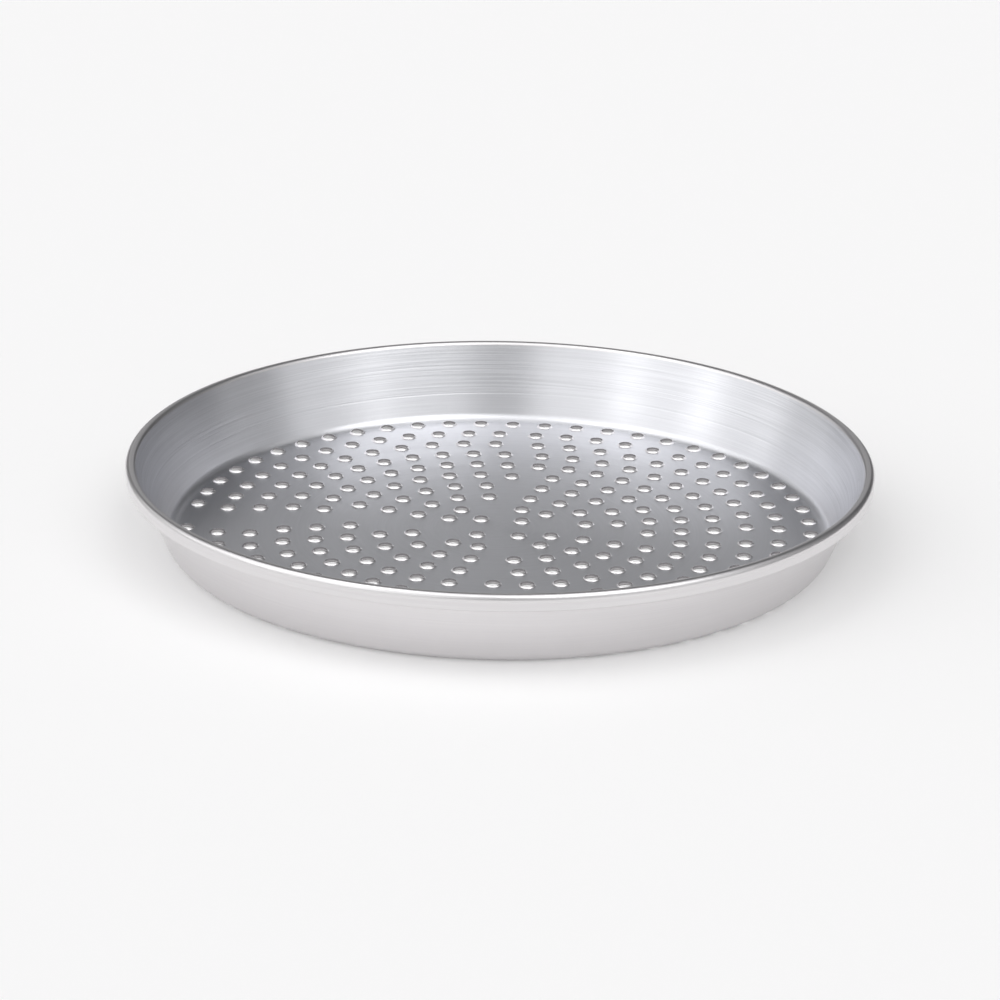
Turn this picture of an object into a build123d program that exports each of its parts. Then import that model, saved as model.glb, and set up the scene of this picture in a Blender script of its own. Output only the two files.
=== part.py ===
from build123d import *
from math import acos, asin, atan2, cos, degrees, hypot, radians, sin, tan
import os

os.makedirs("parts", exist_ok=True)

# Perforated deep pizza pan. Millimetres, +Z up, origin on the table under the middle of the base.

# The dish, pressed from one round blank of sheet
rim_radius = 160.0  # outermost edge of the rolled rim
pan_height = 35.5  # table to the top of the rim
sheet = 1.0  # thickness of the aluminium
wall_flare = 18.2  # how far the foot of the wall stands in from the outermost edge of the rim
corner_bend = 5.5  # inside radius of the bend between floor and wall

# The rim: the sheet is rolled over a wire, turned down as a hem and tucked in under it
wire_diameter = 2.0
wire_clearance = 0.3  # all round the wire
wire_joint_gap = 1.2  # between the wire's two butted ends
hem_depth = 7.3  # top of the rim to the hem's lower edge
hem_inset = 0.2  # how far the hem's face stands back from the roll
hem_bend = 0.6  # inside radius of the hem's lower edge
hem_gap = 0.35  # between the tucked-in edge and the wall

# The vent holes, punched in the flat blank from below with one die, once for each quarter of the
# floor. A quarter has rows on arcs about its first hole, which lies near the middle of the pan.
hole_diameter = 5.8
row_pitch = 13.95
first_hole_radius = 12.8
first_hole_angle = 39.5
quarter_angles = (0.0, 88.6, 183.2, 271.5)  # how far the blank was turned for each stroke
holes_in_row = (1, 2, 4, 5, 7, 9, 10, 11, 13, 14)
row_start_angles = (0.0, 40.0, -5.5, -1.5, -12.5, -8.0, -5.5, -2.0, -2.5, -4.9)
row_end_angles = (0.0, 89.5, 82.0, 77.5, 75.5, 83.5, 83.5, 85.5, 86.5, 84.9)
punch_overrun = 3.0  # how far a punch reaches past the sheet's upper face, both ways

# Each punch drew the hole's edge up with it: a low collar inside the dish, a hollow under it
collar_height = 0.7
collar_width = 0.7  # from the hole's edge to the collar's foot
collar_land = 0.15  # from the hole's edge to the collar's outer edge at the top
hollow_depth = 0.75
hollow_width = 0.5  # from the hole's edge to the hollow's edge on the underside

# The wall's inner face would cross the floor at this radius if there were no bend. The roll wraps
# the wire, and the wall leaves the floor so that it meets the roll at a tangent.
floor_radius = rim_radius - wall_flare
roll_radius = wire_diameter / 2 + wire_clearance + sheet
roll_centre = (rim_radius - roll_radius, pan_height - roll_radius)
wall_run = roll_centre[0] - floor_radius
wall_rise = roll_centre[1] - sheet
wall_angle = degrees(atan2(wall_rise, wall_run) + asin(roll_radius / hypot(wall_run, wall_rise)))

# The bend between floor and wall
bend_start = floor_radius - corner_bend * tan(radians(wall_angle / 2))
bend_centre = (bend_start, sheet + corner_bend)
bend_middle_radius = corner_bend + sheet / 2
bend_length = bend_middle_radius * radians(wall_angle)

# The hem hangs from the roll and its edge is tucked in towards the wall's outer face
hem_radius = rim_radius - hem_inset
hem_bottom = pan_height - hem_depth
hem_bend_centre = (hem_radius - sheet - hem_bend, hem_bottom + sheet + hem_bend)
tuck_top = hem_bottom + sheet
wall_outside_at_tuck = (
    floor_radius + (tuck_top - sheet) / tan(radians(wall_angle)) + sheet / sin(radians(wall_angle))
)
tuck_radius = wall_outside_at_tuck + hem_gap


def sheet_line(depth):
    """Draws the sheet's section at this depth under its upper face, and gives its two ends."""
    roll_end_angle = degrees(acos((roll_radius - depth - hem_inset) / (roll_radius - depth)))
    floor = Line((0, sheet - depth), (bend_start, sheet - depth))
    bend = CenterArc(bend_centre, corner_bend + depth, -90, wall_angle)
    roll = CenterArc(roll_centre, roll_radius - depth, wall_angle + 90, -(wall_angle + 90 + roll_end_angle))
    Line(bend @ 1, roll @ 0)
    lower_edge = CenterArc(hem_bend_centre, hem_bend + sheet - depth, 0, -90)
    Line(roll @ 1, lower_edge @ 0)
    tuck = Line(lower_edge @ 1, (tuck_radius, hem_bottom + depth))
    return floor @ 0, tuck @ 1


def pressed_place(flat):
    """Where a point of the flat blank lies on the pressed pan, as a plane square to the sheet."""
    on_floor = min(flat.length, bend_start)
    lean = (flat.length - on_floor) / bend_middle_radius
    radius = on_floor + corner_bend * sin(lean)
    height = sheet + corner_bend * (1 - cos(lean))
    outward = flat.normalized()
    return Plane(
        origin=outward * radius + Vector(0, 0, height),
        z_dir=Vector(0, 0, cos(lean)) - outward * sin(lean),
    )


def punch_places():
    """The punches' planes on the pressed sheet. A hole in the bend leans with it, and the wall has none."""
    places = []
    first_hole = Vector(first_hole_radius, 0).rotate(Axis.Z, first_hole_angle)
    for quarter_angle in quarter_angles:
        for row, count in enumerate(holes_in_row):
            step = (row_end_angles[row] - row_start_angles[row]) / max(count - 1, 1)
            for place in range(count):
                along_row = Vector(row * row_pitch, 0).rotate(Axis.Z, row_start_angles[row] + place * step)
                on_blank = (first_hole + along_row).rotate(Axis.Z, quarter_angle)
                if on_blank.length < bend_start + bend_length:
                    places.append(pressed_place(on_blank))
    return places


# A collar's outer form is rooted in the sheet. The punch is flared under it to make the hollow.
hole_radius = hole_diameter / 2
collar_root = sheet / 2
collar_flare = (collar_width - collar_land) / collar_height
with BuildPart() as collar_form:
    with Locations(Vector(0, 0, -collar_root)):
        Cone(
            hole_radius + collar_width + collar_flare * collar_root,
            hole_radius + collar_land,
            collar_root + collar_height,
            align=(Align.CENTER, Align.CENTER, Align.MIN),
        )

hollow_top = hollow_depth - sheet
hollow_flare = hollow_width / hollow_depth
with BuildPart() as punch:
    with BuildSketch(Plane.XZ):
        with BuildLine():
            Polyline(
                (0, -punch_overrun),
                (hole_radius + hollow_flare * (punch_overrun + hollow_top), -punch_overrun),
                (hole_radius, hollow_top),
                (hole_radius, punch_overrun),
                (0, punch_overrun),
                close=True,
            )
        make_face()
    revolve(axis=Axis.Z)

with BuildPart() as pan_shell:
    with BuildSketch(Plane.XZ):
        with BuildLine():
            upper_start, upper_end = sheet_line(0)
            under_start, under_end = sheet_line(sheet)
            Line(upper_start, under_start)
            Line(upper_end, under_end)
        make_face()
    revolve(axis=Axis.Z)
    with Locations(*punch_places()):
        add(collar_form.part)
        add(punch.part, mode=Mode.SUBTRACT)

# The wire is bent to a ring whose ends butt at the back
joint_angle = degrees(wire_joint_gap / roll_centre[0])
with BuildPart() as rim_wire:
    with BuildSketch(Plane.YZ):
        with Locations(roll_centre):
            Circle(wire_diameter / 2)
    revolve(axis=Axis.Z, revolution_arc=360 - joint_angle)

pan_shell.part.label = "pan_shell"
rim_wire.part.label = "rim_wire"
export_step(pan_shell.part, "parts/pan_shell.step")
export_step(rim_wire.part, "parts/rim_wire.step")
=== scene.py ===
import bmesh
import bpy
from math import acos, asin, atan2, cos, hypot, pi, radians, sin, tan
from mathutils import Matrix, Quaternion, Vector


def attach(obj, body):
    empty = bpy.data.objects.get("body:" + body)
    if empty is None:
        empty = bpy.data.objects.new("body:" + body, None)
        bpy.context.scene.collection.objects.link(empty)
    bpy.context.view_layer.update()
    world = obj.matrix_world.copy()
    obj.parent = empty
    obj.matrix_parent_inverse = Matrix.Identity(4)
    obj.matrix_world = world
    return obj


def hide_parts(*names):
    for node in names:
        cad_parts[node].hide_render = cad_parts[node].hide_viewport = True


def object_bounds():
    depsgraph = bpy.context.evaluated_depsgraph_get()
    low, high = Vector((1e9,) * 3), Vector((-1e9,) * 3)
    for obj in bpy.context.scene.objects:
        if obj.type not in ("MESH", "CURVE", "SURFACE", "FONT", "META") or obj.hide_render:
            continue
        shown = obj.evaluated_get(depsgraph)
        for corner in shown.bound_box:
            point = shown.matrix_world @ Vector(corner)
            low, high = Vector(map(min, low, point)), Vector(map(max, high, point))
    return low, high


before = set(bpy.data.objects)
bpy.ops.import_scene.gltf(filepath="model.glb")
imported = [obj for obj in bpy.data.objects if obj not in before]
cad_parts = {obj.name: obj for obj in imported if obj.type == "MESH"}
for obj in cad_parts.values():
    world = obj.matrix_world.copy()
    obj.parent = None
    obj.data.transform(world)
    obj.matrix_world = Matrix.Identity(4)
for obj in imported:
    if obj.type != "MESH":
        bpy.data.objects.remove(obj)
cadLow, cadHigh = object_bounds()
print("frame loaded:", sorted(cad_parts))

# Camera, at the photograph's viewing angle
photoCamera = {
    "place": (-0.0005, -1.2144, 0.4731),
    "aim": (0.0002, 0.0341, 0.001),
    "rollAngle": radians(0.86),
    "lens": 108.26,  # with the sensor below, in mm
    "sensorWidth": 36,
}


def placeCamera(settings):
    data = bpy.data.cameras.new("photoCamera")
    camera = bpy.data.objects.new("photoCamera", data)
    bpy.context.scene.collection.objects.link(camera)
    data.lens = settings["lens"]
    data.sensor_width = settings["sensorWidth"]
    look = Vector(settings["aim"]) - Vector(settings["place"])
    roll = Quaternion((0, 0, 1), settings["rollAngle"])
    camera.rotation_mode = "QUATERNION"
    camera.rotation_quaternion = look.to_track_quat("-Z", "Y") @ roll
    camera.location = settings["place"]
    bpy.context.scene.camera = camera


def newValue(tree, operation, first, second):
    # A Math node, fed with sockets or plain numbers
    node = tree.nodes.new("ShaderNodeMath")
    node.operation = operation
    for socket, value in zip(node.inputs, (first, second)):
        if isinstance(value, (int, float)):
            socket.default_value = value
        else:
            tree.links.new(value, socket)
    return node.outputs["Value"]


def newRange(tree, value, given, wanted):
    node = tree.nodes.new("ShaderNodeMapRange")
    node.inputs["From Min"].default_value, node.inputs["From Max"].default_value = given
    node.inputs["To Min"].default_value, node.inputs["To Max"].default_value = wanted
    tree.links.new(value, node.inputs["Value"])
    return node.outputs["Result"]


# Studio: a pale floor under rings of wide soft lamps and an even world. Directions run from +X
# towards +Y, the camera stands at 270, and a lamp's strength is how bright its disc looks.
studio = {
    "floorSize": 14,
    "floorDrop": 0.0001,  # the floor lies this far under the pan's base
    "floorColor": (0.96, 0.955, 0.955, 1),
    "whiteForCamera": 0.2,  # share of plain white that the camera sees in the floor
    "whiteForMetal": 0.1,  # the same for what shines or lets light through
    "worldColor": (0.09, 0.09, 0.094, 1),
    "lampRings": [
        {
            "name": "lowLamp",
            "elevation": 20,
            "spread": 38,
            "strengths": {
                0: 0.27, 30: 0.08, 90: 0.25, 120: 0.09, 150: 0.59, 180: 0.95, 210: 0.97, 240: 0.89,
                270: 0.3, 300: 0.5, 330: 0.6,
            },
        },
        {
            "name": "highLamp",
            "elevation": 55,
            "spread": 46,
            "strengths": {0: 0.42, 180: 1.15, 225: 0.8, 270: 0.37, 315: 1.6},
        },
        {"name": "topLamp", "elevation": 90, "spread": 46, "strengths": {0: 0.83}},
    ],
}


def addSoftLamp(name, comesFrom, spread, strength):
    data = bpy.data.lights.new(name, "SUN")
    data.angle = spread
    data.energy = strength * pi * sin(spread / 2) ** 2
    lamp = bpy.data.objects.new(name, data)
    bpy.context.scene.collection.objects.link(lamp)
    lamp.rotation_mode = "QUATERNION"
    lamp.rotation_quaternion = comesFrom.to_track_quat("Z", "Y")


def paleFloor(settings):
    # The camera sees the floor paler than it lights other things, and its shadows stay
    material = bpy.data.materials.new("paleFloor")
    material.use_nodes = True
    tree = material.node_tree
    tree.nodes.clear()
    rays = tree.nodes.new("ShaderNodeLightPath").outputs
    shines = newValue(tree, "MAXIMUM", rays["Is Glossy Ray"], rays["Is Transmission Ray"])
    forMetal = newValue(tree, "MULTIPLY", shines, settings["whiteForMetal"])
    forCamera = newValue(tree, "MULTIPLY", rays["Is Camera Ray"], settings["whiteForCamera"])
    plain = tree.nodes.new("ShaderNodeBsdfDiffuse")
    plain.inputs["Color"].default_value = settings["floorColor"]
    white = tree.nodes.new("ShaderNodeEmission")
    mix = tree.nodes.new("ShaderNodeMixShader")
    output = tree.nodes.new("ShaderNodeOutputMaterial")
    tree.links.new(newValue(tree, "MAXIMUM", forCamera, forMetal), mix.inputs["Fac"])
    tree.links.new(plain.outputs["BSDF"], mix.inputs[1])
    tree.links.new(white.outputs["Emission"], mix.inputs[2])
    tree.links.new(mix.outputs["Shader"], output.inputs["Surface"])
    return material


def buildStudio(settings):
    bm = bmesh.new()
    bmesh.ops.create_grid(bm, x_segments=1, y_segments=1, size=settings["floorSize"] / 2)
    bmesh.ops.translate(bm, verts=bm.verts, vec=(0, 0, -settings["floorDrop"]))
    floor = addPiece("studioFloor", bm)
    floor.data.materials.append(paleFloor(settings))
    world = bpy.data.worlds.new("studioWorld")
    world.use_nodes = True
    world.node_tree.nodes["Background"].inputs["Color"].default_value = settings["worldColor"]
    bpy.context.scene.world = world
    for ring in settings["lampRings"]:
        elevation, spread = radians(ring["elevation"]), radians(ring["spread"])
        for direction, strength in ring["strengths"].items():
            comesFrom = Vector((cos(elevation), 0, sin(elevation)))
            comesFrom.rotate(Quaternion((0, 0, 1), radians(direction)))
            addSoftLamp(ring["name"] + str(direction), comesFrom, spread, strength)


# The marks left by turning, which run round the pan's axis. How often a mark changes on its way
# round is per radian. They are faint on the floor and stand out on the wall.
marks = {
    "fineArcs": 2.6,
    "fineDetail": 2,
    "fineRange": (0.34, 0.66),  # the part of the noise that is drawn out to its full contrast
    "broadPitch": 0.007,
    "broadArcs": 1.1,
    "broadDetail": 3,
    "broadRange": (0.3, 0.7),
    "dwellRange": (0.35, 0.6),  # the part of the broad marks over which the fine ones grow
    "leastDwell": 0.35,
    "calmUpTo": 0.005,  # height to which the marks are calm
    "fullFrom": 0.018,
    "calmShare": 0.3,
    "depth": 0.00015,
}

# Each metal's two colours and its least and greatest roughness, between which its marks vary
metals = {
    "turnedAluminium": {
        "colors": ((0.69, 0.695, 0.72, 1), (0.8, 0.805, 0.835, 1)),
        "roughness": (0.31, 0.36),
        "finePitch": 0.0009,
        "bumpStrength": 0.25,
        "anisotropy": 0.6,  # the rings spread light across themselves, which draws the fan on the floor
        "quarterTurn": 0.25,
    },
    "satinAluminium": {
        "colors": ((0.76, 0.745, 0.752, 1), (0.79, 0.775, 0.782, 1)),
        "roughness": (0.29, 0.31),
        "finePitch": 0.0009,
        "bumpStrength": 0.03,
    },
    "cutAluminiumWithPaintedShade": {  # the sheared faces of the holes and the blank's edge: duller from shearing, and their colour darkened as painted shade for the shade inside the holes
        "colors": ((0.3, 0.29, 0.3, 1), (0.4, 0.39, 0.4, 1)),
        "roughness": (0.4, 0.55),
        "finePitch": 0.0009,
        "bumpStrength": 0.3,
    },
    "drawnSteel": {
        "colors": ((0.42, 0.42, 0.43, 1), (0.55, 0.55, 0.55, 1)),
        "roughness": (0.3, 0.45),
        "finePitch": 0.0005,
        "bumpStrength": 0.2,
    },
}


def markNoise(tree, across, direction, pitch, arcs, detail):
    # Noise drawn out along the rings: fine across them, slow round the axis, with no seam
    place = tree.nodes.new("ShaderNodeVectorMath")
    place.operation = "SCALE"
    place.inputs["Scale"].default_value = arcs
    tree.links.new(direction, place.inputs[0])
    step = tree.nodes.new("ShaderNodeCombineXYZ")
    tree.links.new(newValue(tree, "DIVIDE", across, pitch), step.inputs["Z"])
    both = tree.nodes.new("ShaderNodeVectorMath")
    both.operation = "ADD"
    tree.links.new(place.outputs["Vector"], both.inputs[0])
    tree.links.new(step.outputs["Vector"], both.inputs[1])
    noise = tree.nodes.new("ShaderNodeTexNoise")
    noise.inputs["Scale"].default_value = 1
    noise.inputs["Detail"].default_value = detail
    tree.links.new(both.outputs["Vector"], noise.inputs["Vector"])
    return noise.outputs["Fac"]


def turningMarks(settings):
    # Group: fine and broad marks round the pan's axis, on Object coordinates
    tree = bpy.data.node_groups.new("turningMarks", "ShaderNodeTree")
    for name in ("Fine Pitch", "Broad Pitch"):
        tree.interface.new_socket(name, in_out="INPUT", socket_type="NodeSocketFloat")
    for name in ("Streaks", "Broad", "Height"):
        tree.interface.new_socket(name, in_out="OUTPUT", socket_type="NodeSocketFloat")
    pitches = tree.nodes.new("NodeGroupInput").outputs
    output = tree.nodes.new("NodeGroupOutput")
    coordinates = tree.nodes.new("ShaderNodeTexCoord")
    level = tree.nodes.new("ShaderNodeVectorMath")
    level.operation = "MULTIPLY"
    level.inputs[1].default_value = (1, 1, 0)
    tree.links.new(coordinates.outputs["Object"], level.inputs[0])
    distance = tree.nodes.new("ShaderNodeVectorMath")
    distance.operation = "LENGTH"
    direction = tree.nodes.new("ShaderNodeVectorMath")
    direction.operation = "NORMALIZE"
    for node in (distance, direction):
        tree.links.new(level.outputs["Vector"], node.inputs[0])
    place = tree.nodes.new("ShaderNodeSeparateXYZ")
    tree.links.new(coordinates.outputs["Object"], place.inputs["Vector"])
    height = place.outputs["Z"]
    across = newValue(tree, "ADD", distance.outputs["Value"], height)
    around = direction.outputs["Vector"]
    fine = markNoise(
        tree, across, around, pitches["Fine Pitch"], settings["fineArcs"], settings["fineDetail"]
    )
    broad = markNoise(
        tree, across, around, pitches["Broad Pitch"], settings["broadArcs"], settings["broadDetail"]
    )
    # The fine marks are cut deepest where the tool dwelt, which the broad marks show
    calm = (settings["calmUpTo"], settings["fullFrom"])
    share = newRange(tree, height, calm, (settings["calmShare"], 1))
    sharp = newRange(tree, fine, settings["fineRange"], (-0.5, 0.5))
    dwelt = newRange(tree, broad, settings["dwellRange"], (settings["leastDwell"], 1))
    strong = newValue(tree, "MULTIPLY", newValue(tree, "MULTIPLY", sharp, dwelt), share)
    tree.links.new(newValue(tree, "ADD", strong, 0.5), output.inputs["Streaks"])
    tree.links.new(broad, output.inputs["Broad"])
    tree.links.new(strong, output.inputs["Height"])
    return tree


def makeMetal(name, markGroup):
    settings = metals[name]
    material = bpy.data.materials.new(name)
    material.use_nodes = True
    tree = material.node_tree
    shader = tree.nodes["Principled BSDF"]
    shader.inputs["Metallic"].default_value = 1
    group = tree.nodes.new("ShaderNodeGroup")
    group.node_tree = markGroup
    group.inputs["Fine Pitch"].default_value = settings["finePitch"]
    group.inputs["Broad Pitch"].default_value = marks["broadPitch"]
    tint = tree.nodes.new("ShaderNodeMix")
    tint.data_type = "RGBA"
    tint.inputs["A"].default_value, tint.inputs["B"].default_value = settings["colors"]
    tree.links.new(group.outputs["Streaks"], tint.inputs["Factor"])
    tree.links.new(tint.outputs["Result"], shader.inputs["Base Color"])
    roughness = newRange(tree, group.outputs["Broad"], marks["broadRange"], settings["roughness"])
    tree.links.new(roughness, shader.inputs["Roughness"])
    bump = tree.nodes.new("ShaderNodeBump")
    bump.inputs["Distance"].default_value = marks["depth"]
    bump.inputs["Strength"].default_value = settings["bumpStrength"]
    tree.links.new(group.outputs["Height"], bump.inputs["Height"])
    tree.links.new(bump.outputs["Normal"], shader.inputs["Normal"])
    if "anisotropy" in settings:
        shader.inputs["Anisotropic"].default_value = settings["anisotropy"]
        shader.inputs["Anisotropic Rotation"].default_value = settings["quarterTurn"]
        tangent = tree.nodes.new("ShaderNodeTangent")
        tangent.direction_type, tangent.axis = "RADIAL", "Z"
        tree.links.new(tangent.outputs["Tangent"], shader.inputs["Tangent"])
    return material


# The pan's sheet, the same sizes as the CAD shell's, in metres
pan = {
    "rimRadius": cadHigh.x,
    "height": cadHigh.z,
    "sheet": 0.001,
    "wallFlare": 0.0182,
    "cornerBend": 0.0055,
    "rollRadius": 0.0023,
    "creaseRadius": 0.0006,  # of the sheet's middle, where the roll turns down into the hem
    "hemInset": 0.0002,
    "hemDepth": 0.0073,
    "hemBend": 0.0006,
    "hemGap": 0.00035,
    "ringSteps": 240,
    "stepsInRun": {"bend": 10, "wall": 6, "roll": 20, "crease": 3, "hem": 2, "lowerEdge": 6, "tuck": 1},
    "pressLine": {"upWall": 0.0095, "width": 0.0013, "depth": 0.00005, "steps": 6},  # round the wall
    "finishes": ("turnedAluminium", "satinAluminium", "cutAluminiumWithPaintedShade"),
}

# The vent holes: rows on arcs about each quarter's first hole. The punch drew their edges up.
vents = {
    "holeRadius": 0.0029,
    "collarHeight": 0.0007,
    "collarLand": 0.0001,  # the level crest, from the hole's edge
    "collarSlope": 0.00085,  # from the crest out to the foot
    "collarSteps": 5,
    "collarSunk": 0.00002,  # the foot's level end lies this far under the floor's face
    "hollowDepth": 0.00075,
    "hollowWidth": 0.0005,
    "sides": 20,
    "overrun": 0.0005,
    "rowPitch": 0.01395,
    "firstHoleRadius": 0.0128,
    "firstHoleAngle": radians(39.5),
    "quarterAngles": (0.0, 88.6, 183.2, 271.5),
    "holesInRow": (1, 2, 4, 5, 7, 9, 10, 11, 13, 14),
    "rowStartAngles": (0.0, 40.0, -5.5, -1.5, -12.5, -8.0, -5.5, -2.0, -2.5, -4.9),
    "rowEndAngles": (0.0, 89.5, 82.0, 77.5, 75.5, 83.5, 83.5, 85.5, 86.5, 84.9),
}

weldDistance = 1e-6


def sheetRuns(size):
    # The sheet's middle line from the centre out, as straight runs and bends: name, length, turn
    half = size["sheet"] / 2
    floorRadius = size["rimRadius"] - size["wallFlare"]
    rollX = size["rimRadius"] - size["rollRadius"]
    rollZ = size["height"] - size["rollRadius"]
    run, rise = rollX - floorRadius, rollZ - size["sheet"]
    wallAngle = atan2(rise, run) + asin(size["rollRadius"] / hypot(run, rise))
    bendStart = floorRadius - size["cornerBend"] * tan(wallAngle / 2)
    rollMiddle = size["rollRadius"] - half
    crease = acos(1 - size["hemInset"] / (rollMiddle + size["creaseRadius"]))
    wallTop = rollZ + size["rollRadius"] * cos(wallAngle)
    bendTop = size["sheet"] + size["cornerBend"] * (1 - cos(wallAngle))
    creaseDrop = (rollMiddle + size["creaseRadius"]) * sin(crease)
    hemFoot = size["height"] - size["hemDepth"] + size["sheet"] + size["hemBend"]
    tuckTop = size["height"] - size["hemDepth"] + size["sheet"]
    wallAtTuck = floorRadius + (tuckTop - size["sheet"]) / tan(wallAngle) + size["sheet"] / sin(wallAngle)
    tuckStart = size["rimRadius"] - size["hemInset"] - size["sheet"] - size["hemBend"]
    quarterTurn = radians(90)
    return [
        ("floor", bendStart, 0),
        ("bend", (size["cornerBend"] + half) * wallAngle, wallAngle),
        ("wall", (wallTop - bendTop) / sin(wallAngle), 0),
        ("roll", rollMiddle * (wallAngle + quarterTurn + crease), -(wallAngle + quarterTurn + crease)),
        ("crease", size["creaseRadius"] * crease, crease),
        ("hem", rollZ - creaseDrop - hemFoot, 0),
        ("lowerEdge", (size["hemBend"] + half) * quarterTurn, -quarterTurn),
        ("tuck", tuckStart - wallAtTuck - size["hemGap"], 0),
    ]


def pressedPoint(size, runs, flatRadius, offset):
    # Where a point of the flat blank ends up: its distance from the axis and its height
    x, z, heading, left = 0, size["sheet"] / 2, 0, flatRadius
    for name, length, turn in runs:
        part = length if name != "tuck" and left > length else left
        if turn:
            bendRadius = length / turn
            lean = part / bendRadius
            x += bendRadius * (sin(heading + lean) - sin(heading))
            z += bendRadius * (cos(heading) - cos(heading + lean))
            heading += lean
        else:
            x += part * cos(heading)
            z += part * sin(heading)
        left -= part
        if left <= 0:
            break
    return x - offset * sin(heading), z + offset * cos(heading)


def addPiece(name, bm):
    mesh = bpy.data.meshes.new(name)
    bm.to_mesh(mesh)
    bm.free()
    piece = bpy.data.objects.new(name, mesh)
    bpy.context.scene.collection.objects.link(piece)
    return piece


def ringRadii(size, runs):
    # Where the flat blank needs a ring of vertices: at each step of the bends and of the wall's groove
    radii, flatRadius = [runs[0][1]], runs[0][1]
    for name, length, turn in runs[1:]:
        steps = size["stepsInRun"][name]
        radii += [flatRadius + length * (step + 1) / steps for step in range(steps)]
        if name == "wall":
            groove = size["pressLine"]
            start = flatRadius + groove["upWall"] - groove["width"] / 2
            radii += [start + groove["width"] * step / groove["steps"] for step in range(groove["steps"] + 1)]
        flatRadius += length
    return sorted(radii)


def grooveDepth(size, runs, flatRadius):
    groove = size["pressLine"]
    away = abs(flatRadius - runs[0][1] - runs[1][1] - groove["upWall"]) / (groove["width"] / 2)
    return groove["depth"] * (1 + cos(pi * min(away, 1))) / 2


def makeBlank(size, runs):
    # A flat round blank with its rings of vertices
    bm = bmesh.new()
    line = [bm.verts.new((radius, 0, size["sheet"] / 2)) for radius in ringRadii(size, runs)]
    edges = [bm.edges.new(pair) for pair in zip(line, line[1:])]
    bmesh.ops.spin(
        bm, geom=line + edges, cent=(0, 0, 0), axis=(0, 0, 1), angle=2 * pi,
        steps=size["ringSteps"], use_merge=True,
    )
    floorEdge = runs[0][1] + weldDistance
    middle = [e for e in bm.edges if e.is_boundary and e.verts[0].co.xy.length < floorEdge]
    bmesh.ops.contextual_create(bm, geom=middle)
    bmesh.ops.recalc_face_normals(bm, faces=bm.faces)
    if sum(f.normal.z for f in bm.faces) < 0:
        bmesh.ops.reverse_faces(bm, faces=bm.faces)
    under = bmesh.ops.duplicate(bm, geom=bm.verts[:] + bm.edges[:] + bm.faces[:])["geom"]
    underVerts = [g for g in under if isinstance(g, bmesh.types.BMVert)]
    underFaces = [g for g in under if isinstance(g, bmesh.types.BMFace)]
    bmesh.ops.translate(bm, verts=underVerts, vec=(0, 0, -size["sheet"]))
    bmesh.ops.reverse_faces(bm, faces=underFaces)
    bmesh.ops.bridge_loops(bm, edges=[e for e in bm.edges if e.is_boundary])
    return addPiece("flatBlank", bm)


def ventPlaces(settings):
    firstHole = Vector((settings["firstHoleRadius"], 0)) @ Matrix.Rotation(-settings["firstHoleAngle"], 2)
    places = []
    for quarter in settings["quarterAngles"]:
        for row, count in enumerate(settings["holesInRow"]):
            start, end = settings["rowStartAngles"][row], settings["rowEndAngles"][row]
            for place in range(count):
                angle = radians(start + (end - start) * place / max(count - 1, 1))
                along = Vector((cos(angle), sin(angle))) * row * settings["rowPitch"]
                spot = Matrix.Rotation(radians(quarter), 2) @ (firstHole + along)
                places.append((spot.x, spot.y, 0))
    return places


def spunForm(outline, sides):
    # A closed form turned from its outline, which starts and ends on the axis
    bm = bmesh.new()
    line = [bm.verts.new((x, 0, z)) for x, z in outline]
    edges = [bm.edges.new(pair) for pair in zip(line, line[1:])]
    bmesh.ops.spin(
        bm, geom=line + edges, cent=(0, 0, 0), axis=(0, 0, 1), angle=2 * pi, steps=sides, use_merge=True,
    )
    bmesh.ops.remove_doubles(bm, verts=bm.verts, dist=weldDistance)
    bmesh.ops.recalc_face_normals(bm, faces=bm.faces)
    return bm


def atEveryVent(name, bm, settings):
    one = bpy.data.meshes.new(name)
    bm.to_mesh(one)
    bm.clear()
    for place in ventPlaces(settings):
        before = len(bm.verts)
        bm.from_mesh(one)
        bm.verts.ensure_lookup_table()
        bmesh.ops.translate(bm, verts=bm.verts[before:], vec=place)
    bpy.data.meshes.remove(one)
    return addPiece(name, bm)


def makeCollars(size, settings):
    # The drawn-up edges, rooted in the sheet, with a level crest and a slope that eases into the floor
    top, crest = size["sheet"] / 2, settings["holeRadius"] + settings["collarLand"]
    outline = [(0, top + settings["collarHeight"])]
    for step in range(settings["collarSteps"] + 1):
        along = step / settings["collarSteps"]
        height = settings["collarHeight"] * (1 + cos(pi * along)) / 2 - settings["collarSunk"] * along
        outline.append((crest + settings["collarSlope"] * along, top + height))
    outline += [(outline[-1][0], 0), (0, 0)]
    return atEveryVent("collars", spunForm(outline, settings["sides"]), settings)


def makePunches(size, settings):
    # One punch, flared where it makes the hollow under the collar
    radius, under = settings["holeRadius"], -size["sheet"] / 2
    flare = settings["hollowWidth"] / settings["hollowDepth"]
    outline = [
        (0, under - settings["overrun"]),
        (radius + settings["hollowWidth"] + flare * settings["overrun"], under - settings["overrun"]),
        (radius, under + settings["hollowDepth"]),
        (radius, -under + settings["collarHeight"] + settings["overrun"]),
        (0, -under + settings["collarHeight"] + settings["overrun"]),
    ]
    return atEveryVent("punches", spunForm(outline, settings["sides"]), settings)


def evenShading(piece):
    # The large flat faces keep their own direction, so only the rounded edges turn the light
    weighted = piece.modifiers.new("weighted", "WEIGHTED_NORMAL")
    weighted.mode = "FACE_AREA"
    finished = bpy.data.meshes.new_from_object(piece.evaluated_get(bpy.context.evaluated_depsgraph_get()))
    piece.modifiers.clear()
    piece.data = finished
    return piece


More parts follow.
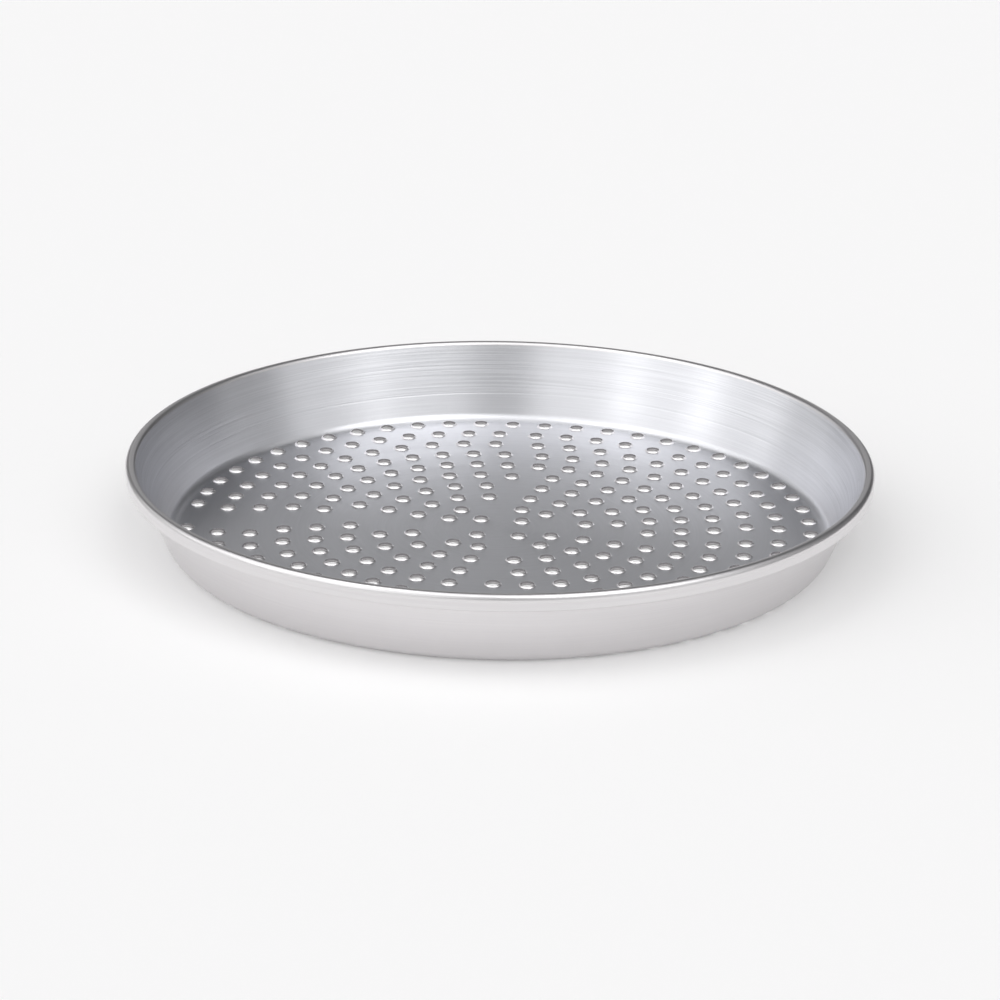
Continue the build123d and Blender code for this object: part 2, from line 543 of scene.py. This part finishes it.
def finishOf(face, size, runs):
    # Which of the pan's finishes a face of the flat blank gets, by its side and its place
    centre, upperFace = face.calc_center_median(), size["sheet"] / 2
    wallEnd = sum(length for name, length, turn in runs[:3])
    upright = abs(face.normal.z) < 0.1
    # Upright cut faces get the darker finish, whose colour is partly painted shade for the insides of the
    # holes
    if upright and abs(centre.z) < size["sheet"]:
        return size["finishes"].index("cutAluminiumWithPaintedShade")
    if 0 < centre.z < upperFace + weldDistance and centre.xy.length < wallEnd:
        return size["finishes"].index("turnedAluminium")
    return size["finishes"].index("satinAluminium")


def makePan(size, settings, markGroup):
    runs = sheetRuns(size)
    blank = makeBlank(size, runs)
    tools = {"UNION": makeCollars(size, settings), "DIFFERENCE": makePunches(size, settings)}
    for operation, tool in tools.items():
        cut = blank.modifiers.new(tool.name, "BOOLEAN")
        cut.operation, cut.solver, cut.object = operation, "EXACT", tool
    depsgraph = bpy.context.evaluated_depsgraph_get()
    punched = bpy.data.meshes.new_from_object(blank.evaluated_get(depsgraph))
    bm = bmesh.new()
    bm.from_mesh(punched)
    for temporary in (blank, *tools.values()):
        bpy.data.objects.remove(temporary)
    bmesh.ops.dissolve_degenerate(bm, dist=weldDistance, edges=bm.edges)
    for face in bm.faces:
        face.material_index = finishOf(face, size, runs)
        face.smooth = True
    for vert in bm.verts:
        flat = vert.co.xy
        offset = vert.co.z - (grooveDepth(size, runs, flat.length) if vert.co.z > 0 else 0)
        x, z = pressedPoint(size, runs, flat.length, offset)
        outward = flat.normalized()
        vert.co = (outward.x * x, outward.y * x, z)
    print("pressed shell:", len(bm.verts), "vertices,", len(bm.faces), "faces")
    shell = addPiece("pressedShell", bm)
    for name in size["finishes"]:
        shell.data.materials.append(makeMetal(name, markGroup))
    return evenShading(shell)


placeCamera(photoCamera)
buildStudio(studio)
print("camera and studio placed")

markGroup = turningMarks(marks)
shell = makePan(pan, vents, markGroup)
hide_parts("pan_shell")
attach(shell, "root")
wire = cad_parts["rim_wire"].data
wire.materials.clear()
wire.materials.append(makeMetal("drawnSteel", markGroup))
print("pan made")

bpy.context.scene.view_settings.view_transform = "Standard"
